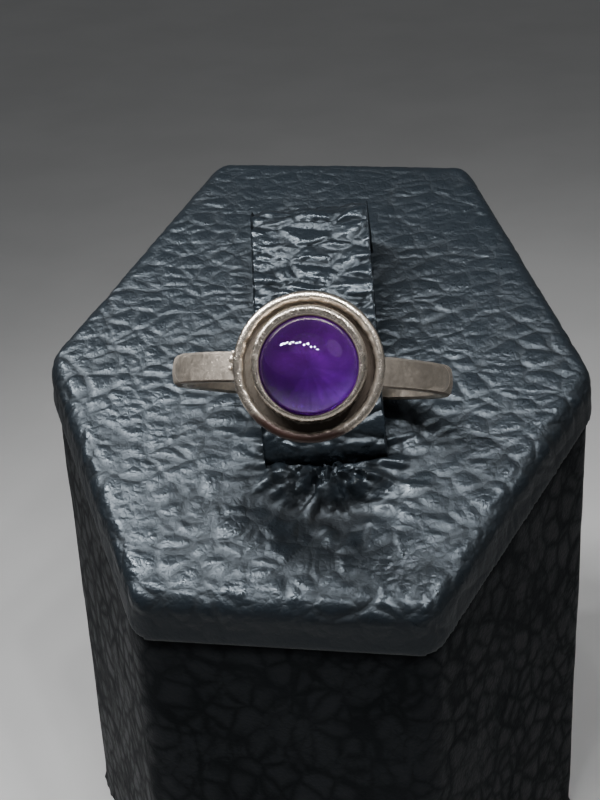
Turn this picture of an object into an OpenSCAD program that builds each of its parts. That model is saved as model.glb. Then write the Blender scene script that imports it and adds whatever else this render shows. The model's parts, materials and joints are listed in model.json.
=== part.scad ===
// Silver ring with a round cabochon, held on a hexagonal ring stand.
// The stone sits in a burnished bezel inside a shallow cup with a round wire rim. The ring leans
// on the stand's slanted face, and a strap comes out of the face and passes through the ring.

/* [Finger hole] */
// Inside diameter of the band
finger_d = 15.9; // [15:0.1:18]

/* [Band] */
// Thickness of the band, from the finger to the crown of its outer face
band_t = 1.1; // [0.9:0.05:1.6]
// Width of the band, along the finger
band_w = 1.85; // [1.5:0.05:2.6]
// Rise of the outer face from its edges to its crown
band_crown = 0.12; // [0.06:0.01:0.18]
// Bevel that breaks the four long edges
band_bevel = 0.14; // [0.08:0.01:0.2]
// Depth filed off the outer face where the cup stands
file_depth = 0.28; // [0.2:0.02:0.36]
// Angle from the cup at which the filed face runs out
file_end = 74; // [60:1:84]

/* [Cup] */
// Height of the cup, from its foot to the crest of its rim
cup_h = 1.7; // [1.4:0.05:2.4]
// Thickness of the cup's floor
floor_t = 0.5; // [0.4:0.05:0.7]
// Thickness of the cup's upright wall
cup_wall_t = 0.26; // [0.2:0.02:0.36]
// Diameter of the round wire that makes the rim
rim_wire_d = 0.64; // [0.5:0.02:0.8]
// Mean width of the channel between bezel and rim
channel_w = 0.42; // [0.3:0.02:0.6]
// How far the foot is let into the filed face of the band
cup_sink = 0.15; // [0.1:0.01:0.2]
// Radius of the solder fillets between foot and band
solder_r = 0.22; // [0.15:0.01:0.24]

/* [Bezel] */
// Thickness of the bezel wall
bezel_wall_t = 0.36; // [0.28:0.02:0.5]
// How far the bezel's outside stands off centre, towards the upper side
bezel_shift = 0.14; // [0:0.01:0.16]
// How far the lip reaches in over the edge of the stone
lip_reach = 0.11; // [0.08:0.01:0.2]
// Thickness of the lip at its tip
lip_t = 0.09; // [0.05:0.01:0.15]
// Width of the bright face round the lip
lip_face_w = 0.26; // [0.15:0.01:0.3]
// Fall of the bright face, from its tip outwards
lip_face_fall = 0.05; // [0.02:0.01:0.1]
// Height of the rounded shoulder under the bright face
shoulder_h = 0.42; // [0.3:0.02:0.6]
// Width of the ledge that carries the stone
ledge_w = 0.5; // [0.3:0.05:0.8]
// Depth of the ledge below the crest of the rim
seat_drop = 0.3; // [0.2:0.05:0.5]

/* [Stone] */
// Diameter of the cabochon at its girdle
stone_d = 6.0; // [5.6:0.1:7.5]
// Height of the straight girdle
girdle_h = 0.6; // [0.4:0.05:0.8]
// Height of the dome above the girdle
dome_h = 2.6; // [1.8:0.1:2.7]
// Bevel round the flat back of the stone
back_bevel = 0.12; // [0.05:0.01:0.2]
// Clearance between stone and silver
stone_gap = 0.04; // [0.03:0.01:0.08]

/* [Stand block] */
// Width of the hexagonal block across its left and right corners
block_w = 40; // [36:1:60]
// Height of the block at its middle
block_h = 40; // [32:1:70]
// Slope of the face that shows the ring
face_slope = 28; // [15:1:40]
// Radius of the wrapped edges
block_edge_r = 1.2; // [0.6:0.1:2.5]
// Width of the hollow pressed into the face below the ring
dip_w = 12; // [8:0.5:14]
// Depth of that hollow
dip_depth = 1.1; // [0.4:0.1:1.6]

/* [Stand strap] */
// Width of the strap
strap_w = 8.5; // [6:0.25:10]
// Thickness of the strap
strap_t = 1.2; // [0.8:0.1:1.6]
// Height of the strap's upper bend over the face
strap_rise = 5.6; // [4.5:0.1:7]
// Distance between the two slots that the strap goes into
strap_span = 18.2; // [17:0.1:20]
// Distance from the middle of the face up to the upper slot
strap_up = 10.2; // [9:0.1:11]
// Radius of the strap's upper bend
bend_r = 1.6; // [1:0.1:2.2]
// Radius of the strap's lower bend
foot_r = 0.9; // [0.8:0.1:1.4]
// How deep each end is let into the block
strap_sink = 2.6; // [1.5:0.1:5]
// Place of the strap's middle to the right of the face's middle, where it passes the ring
strap_x = 1.0; // [0.4:0.1:1.6]
// How far the strap is turned from the line of the slope
strap_turn = 8.5; // [0:0.5:10]
// Clearance round the strap in its slots
slot_gap = 0.1; // [0.05:0.05:0.3]

/* [Ring on the stand] */
// How far the setting leans down the slope, from square to the face
ring_lean = 31.3; // [20:0.5:40]
// How far the setting is rolled to the right
ring_roll = 7.3; // [-15:0.1:15]
// Place of the ring's centre to the right of the face's middle
ring_x = 1.55; // [0.5:0.05:2.5]
// Distance of the ring's centre below the face's middle, along the slope
ring_down = 7.0; // [6.5:0.1:8]
// Clearance between ring and face
rest_gap = 0.05; // [0.03:0.01:0.1]
// Clearance between ring and strap
strap_gap = 0.15; // [0.1:0.05:0.5]

/* [Hidden] */
$fn = 96;
SHOULDER_STEPS = 4;
BEND_STEPS = 6;
CORNER_STEPS = 3;
OVERRUN = 1;

// Band
bore_r = finger_d / 2;
crown_r = bore_r + band_t;
edge_r = crown_r - band_crown;
half_w = band_w / 2;
face_half_w = half_w - band_bevel;
crown_arc_r = (pow(face_half_w, 2) + pow(band_crown, 2)) / (2 * band_crown);

// Filed face: a cylinder set back from the finger's axis, away from the cup
file_top = crown_r - file_depth;
file_back = (pow(crown_r, 2) - pow(file_top, 2)) / (2 * (file_top - crown_r * cos(file_end)));
file_r = file_top + file_back;

// Stone, measured from its flat back
stone_r = stone_d / 2;
dome_r = (pow(stone_r, 2) + pow(dome_h, 2)) / (2 * dome_h);
dome_z = girdle_h + dome_h - dome_r;

// Cup and bezel, measured from the cup's foot
pocket_r = stone_r + stone_gap;
bezel_r = pocket_r + bezel_wall_t;
cup_bore_r = bezel_r + channel_w;
cup_wall_r = cup_bore_r + cup_wall_t;
wire_r = rim_wire_d / 2;
wire_ring_r = cup_bore_r + wire_r;
wall_top = cup_h - wire_r / 4;
seat_z = cup_h - seat_drop;
lip_r = stone_r - lip_reach;
lip_under_z = seat_z + dome_z + sqrt(pow(dome_r + stone_gap, 2) - pow(lip_r, 2));
lip_z = lip_under_z + lip_t;
lip_face_r = lip_r + lip_face_w;
lip_face_z = lip_z - lip_face_fall;
ledge_r = pocket_r - ledge_w;

// Cup on the band
foot_y = file_top - cup_sink;
solder_x = sqrt(pow(file_r + solder_r, 2) - pow(foot_y + file_back - solder_r, 2));

// Ring on the face: its lower back edge rests there
edge_reach = edge_r * cos(ring_lean) + face_half_w * sin(ring_lean);
side_reach = (edge_r - band_bevel) * cos(ring_lean) + half_w * sin(ring_lean);
ring_h = max(edge_reach, side_reach) + rest_gap;

// Strap over the back of the band: one of its edges meets the finger hole first
strap_edge = strap_w / 2 + abs(ring_x - strap_x);
strap_chord = sqrt(pow(bore_r, 2) - pow(strap_edge, 2));
touch_s = strap_chord * sin(ring_lean) + half_w * cos(ring_lean) - ring_down;
touch_h = ring_h - strap_chord * cos(ring_lean) + half_w * sin(ring_lean);
strap_foot_s = strap_up - strap_span;

// Block
block_r = block_w / 2;

// Stands a piece of the face's own frame on the block: x right, y up the slope, z out of the face
module on_face() {
    translate([0, 0, block_h])
        rotate([face_slope, 0, 0])
            children();
}

// Places the ring, which is built round +Z with its setting on the -Y side
module on_stand() {
    on_face()
        translate([ring_x, -ring_down, ring_h])
            rotate([ring_lean, 0, 0])
                rotate([0, ring_roll, 0])
                    rotate([-90, 0, 0])
                        children();
}

// Turns a piece that is built on its foot along +Z to stand on the band, facing -Y
module on_band() {
    translate([0, -foot_y, 0])
        rotate([90, 0, 0])
            children();
}

module band_profile() {
    overshoot = band_crown;
    intersection() {
        for (side = [0, 1])
            mirror([0, side])
                polygon([
                    [bore_r, 0], [bore_r, face_half_w], [bore_r + band_bevel, half_w],
                    [edge_r - band_bevel, half_w], [edge_r + overshoot, face_half_w - overshoot],
                    [edge_r + overshoot, 0]
                ]);
        translate([crown_r - crown_arc_r, 0])
            circle(r = crown_arc_r);
    }
}

module band() {
    intersection() {
        rotate_extrude()
            band_profile();
        translate([0, file_back, 0])
            cylinder(r = file_r, h = band_w + 2 * OVERRUN, center = true);
    }
}

// Solder that fills the wedges between the round band and the flat foot
module solder() {
    linear_extrude(height = 2 * face_half_w, center = true)
        difference() {
            translate([-solder_x, -foot_y - floor_t / 2])
                square([2 * solder_x, foot_y + floor_t / 2]);
            circle(r = bore_r + band_t / 3);
            for (side = [-1, 1])
                translate([side * solder_x, solder_r - foot_y])
                    circle(r = solder_r);
        }
}

module cup() {
    difference() {
        cylinder(r = cup_wall_r, h = wall_top);
        translate([0, 0, floor_t])
            cylinder(r = cup_bore_r, h = cup_h);
    }
    rotate_extrude()
        translate([wire_ring_r, cup_h - wire_r])
            circle(r = wire_r);
}

// The cabochon's half section, grown by gap on every side
module stone_profile(gap = 0) {
    bevel = max(back_bevel - gap, 0.01);
    polygon([[0, -gap], [stone_r + gap - bevel, -gap], [stone_r + gap, bevel - gap],
             [stone_r + gap, girdle_h], [0, girdle_h]]);
    intersection() {
        translate([0, dome_z])
            circle(r = dome_r + gap);
        translate([0, girdle_h / 2])
            square([stone_r + gap, dome_h + girdle_h]);
    }
}

// Outside of the bezel: an upright wall, a rounded shoulder and the bright face round the lip
module bezel_outside() {
    shoulder_w = bezel_r - lip_face_r;
    rotate_extrude()
        polygon([
            [0, floor_t / 2],
            [bezel_r, floor_t / 2],
            for (i = [0 : SHOULDER_STEPS])
                let (a = 90 * i / SHOULDER_STEPS)
                    [lip_face_r + shoulder_w * cos(a), lip_face_z - shoulder_h * (1 - sin(a))],
            [lip_r, lip_z],
            [0, lip_z]
        ]);
}

module bezel() {
    difference() {
        translate([0, bezel_shift, 0])
            bezel_outside();
        translate([0, 0, seat_z])
            rotate_extrude()
                stone_profile(stone_gap);
        translate([0, 0, lip_under_z - OVERRUN / 2])
            cylinder(r = lip_r, h = OVERRUN);
        translate([0, 0, floor_t])
            cylinder(r = ledge_r, h = cup_h);
    }
}

module band_and_setting() {
    color("silver")
        on_stand() {
            band();
            solder();
            on_band() {
                cup();
                bezel();
            }
        }
}

module cabochon() {
    color("indigo")
        on_stand()
            on_band()
                translate([0, 0, seat_z])
                    rotate_extrude()
                        stone_profile();
}

// Hexagon with rounded corners, grown by inset inwards
function hexagon(inset) = [
    for (corner = [0 : 5])
        for (i = [0 : CORNER_STEPS])
            let (middle = 60 * corner, a = middle - 30 + 60 * i / CORNER_STEPS,
                 reach = block_r - block_edge_r / cos(30))
                [reach * cos(middle) + (block_edge_r - inset) * cos(a),
                 reach * sin(middle) + (block_edge_r - inset) * sin(a)]
];

// A thin slice of the block, slanted as the face is, its top at the given drop below the face
module face_slice(drop, inset) {
    multmatrix([
        [1, 0, 0, 0],
        [0, 1, 0, 0],
        [0, tan(face_slope), 1, block_h - drop],
        [0, 0, 0, 1]
    ])
        linear_extrude(height = 0.01)
            polygon(hexagon(inset));
}

module block_body() {
    hull() {
        linear_extrude(height = 0.01)
            polygon(hexagon(0));
        for (i = [0 : CORNER_STEPS])
            let (a = 90 * i / CORNER_STEPS)
                face_slice(block_edge_r * (1 - sin(a)), block_edge_r * (1 - cos(a)));
    }
}

module dip() {
    sphere_r = (pow(dip_w / 2, 2) + pow(dip_depth, 2)) / (2 * dip_depth);
    translate([strap_x, strap_foot_s - strap_t, sphere_r - dip_depth])
        sphere(r = sphere_r);
}

// The strap's frame: turned in the face about the place where it passes the ring
module along_strap() {
    translate([strap_x, touch_s, 0])
        rotate([0, 0, strap_turn])
            translate([0, -touch_s, 0])
                children();
}

module slot(s) {
    thick = strap_t + 2 * slot_gap;
    wide = strap_w + 2 * slot_gap;
    deep = strap_sink + slot_gap;
    translate([-wide / 2, s - thick / 2, -deep])
        cube([wide, thick, deep + OVERRUN]);
}

module stand_block() {
    color("dimgray")
        difference() {
            block_body();
            on_face() {
                dip();
                along_strap()
                    for (s = [strap_up, strap_foot_s])
                        slot(s);
            }
        }
}

function unit(v) = v / norm(v);
function left(v) = [-v[1], v[0]];

// A bend to the left at corner b of a path a, b, c, as pairs of a point and a direction
function bend(a, b, c, r) =
    let (d1 = unit(b - a), d2 = unit(c - b), turn = acos(d1 * d2), start = b - r * tan(turn / 2) * d1)
        [for (i = [0 : BEND_STEPS])
            let (w = turn * i / BEND_STEPS)
                [start + r * (sin(w) * d1 + (1 - cos(w)) * left(d1)), cos(w) * d1 + sin(w) * left(d1)]];

module stand_strap() {
    crossing = touch_h + strap_gap + strap_t / 2;
    corners = [
        [strap_up, -strap_sink],
        [strap_up, strap_rise],
        [touch_s - strap_w / 2 * sin(strap_turn), crossing],
        [strap_foot_s, strap_t / 2],
        [strap_foot_s, -strap_sink]
    ];
    path = concat(
        [[corners[0], [0, 1]]],
        bend(corners[0], corners[1], corners[2], bend_r),
        bend(corners[1], corners[2], corners[3], 2 * strap_t),
        bend(corners[2], corners[3], corners[4], foot_r),
        [[corners[4], [0, -1]]]
    );
    upper = [for (p = path) p[0] - strap_t / 2 * left(p[1])];
    under = [for (i = [len(path) - 1 : -1 : 0]) path[i][0] + strap_t / 2 * left(path[i][1])];
    color("darkslategray")
        on_face()
            along_strap()
                rotate([90, 0, 90])
                    linear_extrude(height = strap_w, center = true)
                        polygon(concat(upper, under));
}

band_and_setting();
cabochon();
stand_block();
stand_strap();
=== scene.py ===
"""Dresses the cabochon ring and its ring stand, and sets the stage for them."""

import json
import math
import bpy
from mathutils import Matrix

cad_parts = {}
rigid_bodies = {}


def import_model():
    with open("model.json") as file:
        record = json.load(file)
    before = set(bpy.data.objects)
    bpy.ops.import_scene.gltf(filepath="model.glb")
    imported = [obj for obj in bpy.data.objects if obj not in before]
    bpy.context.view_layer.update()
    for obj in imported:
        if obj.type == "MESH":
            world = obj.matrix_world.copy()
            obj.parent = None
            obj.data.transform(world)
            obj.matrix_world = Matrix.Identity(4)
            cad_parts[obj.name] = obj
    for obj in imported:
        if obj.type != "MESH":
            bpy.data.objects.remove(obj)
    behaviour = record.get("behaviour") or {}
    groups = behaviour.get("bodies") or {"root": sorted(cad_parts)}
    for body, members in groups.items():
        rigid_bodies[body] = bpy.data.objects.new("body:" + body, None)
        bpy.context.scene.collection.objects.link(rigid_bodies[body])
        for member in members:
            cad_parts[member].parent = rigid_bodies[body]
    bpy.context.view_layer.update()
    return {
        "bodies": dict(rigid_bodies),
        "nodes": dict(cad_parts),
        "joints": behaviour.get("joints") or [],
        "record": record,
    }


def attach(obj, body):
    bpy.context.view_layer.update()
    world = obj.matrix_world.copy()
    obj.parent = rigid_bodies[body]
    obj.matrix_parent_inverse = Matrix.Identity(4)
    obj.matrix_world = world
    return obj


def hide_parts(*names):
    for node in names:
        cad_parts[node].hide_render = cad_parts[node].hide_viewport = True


bl_info = {
    "name": "Cabochon ring on a ring stand",
    "version": (1, 0, 0),
    "blender": (4, 5, 0),
    "location": "View3D > Sidebar > Ring",
    "description": "Models a silver cabochon ring and its leatherette stand, piece by piece",
    "category": "Object",
}

import bmesh
import bpy
from mathutils import Euler, Matrix, Vector

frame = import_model()

MM = 0.001
BODY = "root"
SMOOTH_ANGLE = 38  # degrees between faces that are shaded as one

# Small fixed sizes, in millimetres
MERGE = 0.0005  # points closer than this are one
AXIS_R = 0.001  # where an outline starts, as it can't lie on its own axis
BAND_BEVEL = 0.14  # on the four long edges of the band
CUP_SINK = 0.15  # how far the cup is let into the filed band
CUP_WALL = 0.26
CUP_FLOOR = 0.8
BED_R = 2.5  # radius of the cup's raised middle, under the stone
SEAT_DROP = 0.3  # from the crest of the rim down to the stone's ledge
STONE_GAP = 0.04  # between stone and bezel
STONE_BEVEL = 0.12  # round the stone's back
LIP_REACH = 0.11  # how far the lip reaches in over the stone
LIP_WIDTH = 0.24  # of the bright face round the lip
SHOULDER = 0.46  # height of the bezel's rounded shoulder
REST_GAP = 0.05  # between the band and the face that it rests on

# Steps round a lathed piece
RING_STEPS = 240
STONE_STEPS = 160

# Sizes of the cubes that even out a mesh, in millimetres
FACE_VOXEL, FACE_DRAFT_VOXEL = 0.17, 0.3
SIDE_VOXEL = 0.5
STRAP_VOXEL = 0.14
SOLDER_VOXEL = 0.06

# Pebbles of the leather: size in millimetres, flatness, and how fast that grows up the slope
STRAP_PATTERN = (2.9, 1.8, 0.0)
SIDE_PATTERN = (2.0, 1.2, 0.0)
FACE_FLATNESS, FACE_DRIFT = 1.5, 0.02

# Relief that is only in the materials, in millimetres, and its strength
GRAIN_RELIEF, SILVER_RELIEF = 0.09, 0.03
BUMP = 0.5

# The stage, in metres, watts and degrees, with directions as seen from the ring
FLOOR_SIZE = 6
SENSOR = 36  # millimetres
WORLD_STRENGTH = 0.15
LAMPS = 13
LAMP_ROW = ((-1.15, -0.02), (0.45, -0.44))  # across and back, at both ends of the row
LAMP_ZIGZAG = 0.035  # each lamp's step out of the row
LAMP_DISTANCE, LAMP_SIZE, LAMP_POWER, LAMP_SPREAD = 0.13, 0.006, 0.0098, 85
OVERHEAD_DIRECTION, OVERHEAD_DISTANCE = (0.02, -0.22, 1.0), 0.2
OVERHEAD_WIDTHS = (0.31, 0.24, 0.16)
OVERHEAD_DEPTH, OVERHEAD_POWER = 0.6, 0.085  # for each metre of its width
RIGHT_DIRECTION, RIGHT_DISTANCE, RIGHT_SIZE, RIGHT_POWER = (0.8, 0.1, 0.6), 0.4, 0.25, 0.08
COOL, CLEAR, WARM = (0.93, 0.96, 1.0), (0.97, 0.98, 1.0), (1.0, 0.97, 0.93)


# Sizes and colours that a user would change

class StandSizes(bpy.types.PropertyGroup):
    """Sizes and colours of the stand"""

    block_w: bpy.props.FloatProperty(
        name="Block width", description="Width across the left and right corners",
        default=40 * MM, unit="LENGTH")
    block_h: bpy.props.FloatProperty(
        name="Block height", description="Height at the middle of the slanted face",
        default=40 * MM, unit="LENGTH")
    face_slope: bpy.props.FloatProperty(
        name="Face slope", description="Slope of the face that shows the ring",
        default=math.radians(28), subtype="ANGLE")
    edge_r: bpy.props.FloatProperty(
        name="Edge radius", description="Radius of the wrapped edges",
        default=1.2 * MM, unit="LENGTH")
    wrap_h: bpy.props.FloatProperty(
        name="Wrap height", description="How far the leather of the face is folded down the sides",
        default=3.0 * MM, unit="LENGTH")
    wrap_t: bpy.props.FloatProperty(
        name="Wrap thickness", description="Step where the folded leather ends on the sides",
        default=0.18 * MM, unit="LENGTH")
    crease: bpy.props.FloatProperty(
        name="Crease spacing", description="Mean size of the leather's pebbles",
        default=1.8 * MM, unit="LENGTH")
    crease_depth: bpy.props.FloatProperty(
        name="Crease depth", description="Depth of the leather's main creases",
        default=0.15 * MM, unit="LENGTH")
    dip_w: bpy.props.FloatProperty(
        name="Hollow width", description="Width of the hollow that the strap presses into the face",
        default=13 * MM, unit="LENGTH")
    dip_depth: bpy.props.FloatProperty(
        name="Hollow depth", description="Depth of that hollow",
        default=1.1 * MM, unit="LENGTH")
    leather: bpy.props.FloatVectorProperty(
        name="Leather", description="Colour of the black leatherette on the face",
        default=(0.0052, 0.0072, 0.0092), size=3, subtype="COLOR")
    # Black leatherette, set darker than the face's colour as painted shade on the upright sides and on the
    # face leather's fold
    side_leather: bpy.props.FloatVectorProperty(
        name="Side leather", description="Colour of the leatherette on the sides",
        default=(0.0045, 0.0048, 0.0054), size=3, subtype="COLOR")


class StrapSizes(bpy.types.PropertyGroup):
    """Sizes of the strap"""

    width: bpy.props.FloatProperty(
        name="Width", description="Width of the strap", default=8.5 * MM, unit="LENGTH")
    thick: bpy.props.FloatProperty(
        name="Thickness", description="Thickness of the strap", default=1.2 * MM, unit="LENGTH")
    rise: bpy.props.FloatProperty(
        name="Rise", description="Height of the upper bend over the face",
        default=5.6 * MM, unit="LENGTH")
    upper: bpy.props.FloatProperty(
        name="Upper slot", description="Distance from the middle of the face up to the upper slot",
        default=10.2 * MM, unit="LENGTH")
    span: bpy.props.FloatProperty(
        name="Span", description="Distance between the two slots", default=18.2 * MM, unit="LENGTH")
    sink: bpy.props.FloatProperty(
        name="Sink", description="How deep each end goes into the block",
        default=2.6 * MM, unit="LENGTH")
    upper_bend: bpy.props.FloatProperty(
        name="Upper bend", description="Radius of the upper bend", default=1.6 * MM, unit="LENGTH")
    lower_bend: bpy.props.FloatProperty(
        name="Lower bend", description="Radius of the lower bend", default=0.9 * MM, unit="LENGTH")
    place: bpy.props.FloatProperty(
        name="Place", description="Distance of its middle to the right of the face's middle",
        default=1.0 * MM, unit="LENGTH")
    turn: bpy.props.FloatProperty(
        name="Turn", description="How far it is turned from the line of the slope",
        default=math.radians(8.5), subtype="ANGLE")
    clearance: bpy.props.FloatProperty(
        name="Clearance", description="Gap between the strap and the ring",
        default=0.15 * MM, unit="LENGTH")


class RingSizes(bpy.types.PropertyGroup):
    """Sizes and colours of the ring, and its place on the stand"""

    finger_d: bpy.props.FloatProperty(
        name="Finger hole", description="Inside diameter of the band",
        default=15.9 * MM, unit="LENGTH")
    band_t: bpy.props.FloatProperty(
        name="Band thickness", description="Thickness of the band at its crown",
        default=1.1 * MM, unit="LENGTH")
    band_w: bpy.props.FloatProperty(
        name="Band width", description="Width of the band along the finger",
        default=1.85 * MM, unit="LENGTH")
    crown: bpy.props.FloatProperty(
        name="Band crown", description="Rise of the outer face to its crown",
        default=0.12 * MM, unit="LENGTH")
    file_depth: bpy.props.FloatProperty(
        name="Filed depth", description="Depth filed off the outer face under the cup",
        default=0.28 * MM, unit="LENGTH")
    file_end: bpy.props.FloatProperty(
        name="Filed end", description="Angle from the cup at which the filed face runs out",
        default=math.radians(74), subtype="ANGLE")
    cup_h: bpy.props.FloatProperty(
        name="Cup height", description="Height from the cup's foot to the crest of its rim",
        default=1.7 * MM, unit="LENGTH")
    wire_d: bpy.props.FloatProperty(
        name="Rim wire", description="Diameter of the wire that makes the rim",
        default=0.64 * MM, unit="LENGTH")
    channel_w: bpy.props.FloatProperty(
        name="Channel", description="Mean width of the channel between bezel and rim",
        default=0.42 * MM, unit="LENGTH")
    bezel_t: bpy.props.FloatProperty(
        name="Bezel wall", description="Thickness of the bezel wall",
        default=0.36 * MM, unit="LENGTH")
    bezel_shift: bpy.props.FloatProperty(
        name="Bezel shift", description="How far the bezel stands off centre, to the upper side",
        default=0.14 * MM, unit="LENGTH")
    lean: bpy.props.FloatProperty(
        name="Lean", description="How far the setting leans down the slope",
        default=math.radians(31.3), subtype="ANGLE")
    roll: bpy.props.FloatProperty(
        name="Roll", description="How far the setting is rolled to the right",
        default=math.radians(7.3), subtype="ANGLE")
    place_x: bpy.props.FloatProperty(
        name="Place across", description="Distance to the right of the face's middle",
        default=1.55 * MM, unit="LENGTH")
    place_down: bpy.props.FloatProperty(
        name="Place down", description="Distance below the face's middle, along the slope",
        default=7.0 * MM, unit="LENGTH")
    silver: bpy.props.FloatVectorProperty(
        name="Silver", description="Colour of the worn silver",
        default=(0.61, 0.535, 0.45), size=3, subtype="COLOR")
    # Also the colour of painted shade along the band's near bevel and past its filed face, under the
    # stone's edge and on the shaded side of the channel
    tarnish: bpy.props.FloatVectorProperty(
        name="Tarnish", description="Colour of the dark tarnish in its corners",
        default=(0.060, 0.043, 0.030), size=3, subtype="COLOR")
    # Colour of the painted shade on the lower side of the rim
    brown: bpy.props.FloatVectorProperty(
        name="Brown", description="Colour of the brown tarnish on the lower side of the rim",
        default=(0.030, 0.013, 0.009), size=3, subtype="COLOR")


class StoneSizes(bpy.types.PropertyGroup):
    """Sizes and colour of the stone"""

    width: bpy.props.FloatProperty(
        name="Width", description="Diameter at the girdle", default=6.0 * MM, unit="LENGTH")
    girdle_h: bpy.props.FloatProperty(
        name="Girdle", description="Height of the straight girdle", default=0.6 * MM, unit="LENGTH")
    dome_h: bpy.props.FloatProperty(
        name="Dome", description="Height of the dome over the girdle",
        default=2.6 * MM, unit="LENGTH")
    violet: bpy.props.FloatVectorProperty(
        name="Violet", description="Colour of the amethyst",
        default=(0.36, 0.018, 0.72), size=3, subtype="COLOR")


class StageSizes(bpy.types.PropertyGroup):
    """The floor and the camera"""

    floor_colour: bpy.props.FloatVectorProperty(
        name="Floor", description="Colour of the plain floor",
        default=(0.43, 0.425, 0.415), size=3, subtype="COLOR")
    camera_place: bpy.props.FloatVectorProperty(
        name="Camera place", description="Where the camera stands",
        default=(16.8 * MM, -99.3 * MM, 89.8 * MM), size=3, subtype="TRANSLATION")
    camera_turn: bpy.props.FloatVectorProperty(
        name="Camera turn", description="How the camera is turned",
        default=(math.radians(62.27), math.radians(2.55), math.radians(8.91)), size=3,
        subtype="EULER")
    camera_lens: bpy.props.FloatProperty(
        name="Lens", description="Focal length on a sensor whose long side is 36 mm",
        default=70.65)


GROUPS = {"stand_sizes": StandSizes, "strap_sizes": StrapSizes, "ring_sizes": RingSizes,
          "stone_sizes": StoneSizes, "stage_sizes": StageSizes}


# Modelling helpers. Pieces are shaped in millimetres, and set_down makes them metres.

def mm(value):
    """Metres in millimetres."""
    return value / MM


def deselect():
    """Selects no object."""
    bpy.ops.object.select_all(action="DESELECT")


def activate(*pieces):
    """Selects the pieces alone, and makes the first one active."""
    deselect()
    for piece in pieces:
        piece.select_set(True)
    bpy.context.view_layer.objects.active = pieces[0]


def start(name):
    """Names the new primitive and its mesh."""
    piece = bpy.context.object
    piece.name = name
    piece.data.name = name
    return piece


def edit(piece):
    """Goes into edit mode with one piece."""
    activate(piece)
    bpy.ops.object.mode_set(mode="EDIT")


def leave():
    """Goes back to object mode."""
    bpy.ops.object.mode_set(mode="OBJECT")


def pick(piece, test, kind="VERT"):
    """Selects what passes the test, in edit mode."""
    bpy.ops.mesh.select_mode(type=kind)
    bpy.ops.mesh.select_all(action="DESELECT")
    mesh = bmesh.from_edit_mesh(piece.data)
    items = {"VERT": mesh.verts, "EDGE": mesh.edges, "FACE": mesh.faces}[kind]
    chosen = [item for item in items if test(item)]
    for item in chosen:
        item.select_set(True)
    bmesh.update_edit_mesh(piece.data)


def pick_all():
    """Selects the whole mesh, in edit mode."""
    bpy.ops.mesh.select_all(action="SELECT")


def merge_all():
    """Makes one of the points that lie together, in edit mode."""
    pick_all()
    bpy.ops.mesh.remove_doubles(threshold=MERGE)


def face_outwards():
    """Turns all faces outwards, in edit mode."""
    pick_all()
    bpy.ops.mesh.normals_make_consistent(inside=False)


def from_axis(vertex):
    """Distance of a vertex from Z."""
    return math.hypot(vertex.co.x, vertex.co.y)


def apply_all(piece):
    """Applies all modifiers of a piece."""
    activate(piece)
    for modifier in list(piece.modifiers):
        bpy.ops.object.modifier_apply(modifier=modifier.name)


def bake_place():
    """Makes the place, turn and scale of the active piece part of its mesh."""
    bpy.ops.object.transform_apply(location=True, rotation=True, scale=True)


def set_down(piece, place):
    """Puts a piece that was shaped in millimetres where the frame has it, in metres."""
    activate(piece)
    piece.matrix_world = Matrix.Scale(MM, 4) @ place @ piece.matrix_world
    bake_place()


def finish_piece(piece, material, node):
    """Smooths a piece, gives it its material and puts it in the place of a node."""
    activate(piece)
    bpy.ops.object.shade_smooth_by_angle(angle=math.radians(SMOOTH_ANGLE))
    piece.data.materials.clear()
    piece.data.materials.append(material)
    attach(piece, BODY)
    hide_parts(node)


def lathe(name, outline, steps, closed):
    """Spins an outline of (radius, height) points round Z."""
    deselect()
    bpy.ops.mesh.primitive_plane_add(size=1)
    piece = start(name)
    edit(piece)
    pick_all()
    bpy.ops.mesh.merge(type="CENTER")
    r, z = outline[0]
    bpy.ops.transform.translate(value=(r, 0, z))
    for r_next, z_next in outline[1:] + ([outline[0]] if closed else []):
        bpy.ops.mesh.extrude_region_move(TRANSFORM_OT_translate={"value": (r_next - r, 0, z_next - z)})
        r, z = r_next, z_next
    merge_all()
    pick_all()
    bpy.ops.mesh.spin(steps=steps, angle=2 * math.pi, center=(0, 0, 0), axis=(0, 0, 1))
    merge_all()
    face_outwards()
    leave()
    return piece


def arc(centre, radius, first, last, steps):
    """Points on an arc about a (radius, height) centre, with its angles in degrees."""
    return [(centre[0] + radius * math.cos(math.radians(first + (last - first) * i / steps)),
             centre[1] + radius * math.sin(math.radians(first + (last - first) * i / steps)))
            for i in range(steps + 1)]


def stretch(a, b, steps):
    """Evenly spaced points from a up to, and not including, b."""
    return [(a[0] + (b[0] - a[0]) * i / steps, a[1] + (b[1] - a[1]) * i / steps) for i in range(steps)]


def roughen(piece, name, scale, depth, strength, group=""):
    """Moves the surface in and out by clouds of one scale, all over or in one vertex group."""
    texture = bpy.data.textures.new(name, type="CLOUDS")
    texture.noise_scale, texture.noise_depth = scale, depth
    modifier = piece.modifiers.new(name, "DISPLACE")
    modifier.texture, modifier.strength = texture, strength
    modifier.vertex_group = group


def remesh(piece, voxel):
    """Makes one even skin of a piece, from cubes of one size."""
    modifier = piece.modifiers.new("even_mesh", "REMESH")
    modifier.mode = "VOXEL"
    modifier.voxel_size = voxel
    apply_all(piece)


# Frames of the stand's face and of the ring, in millimetres

def face_frame(stand):
    """The slanted face's frame: X across, Y up the slope, Z out of the face."""
    return Matrix.Translation((0, 0, mm(stand.block_h))) @ Matrix.Rotation(stand.face_slope, 4, "X")


def aimed(frame, x, y, z):
    """A direction that is stated in a frame, as one of the scene."""
    return frame.to_3x3() @ Vector((x, y, z))


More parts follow.
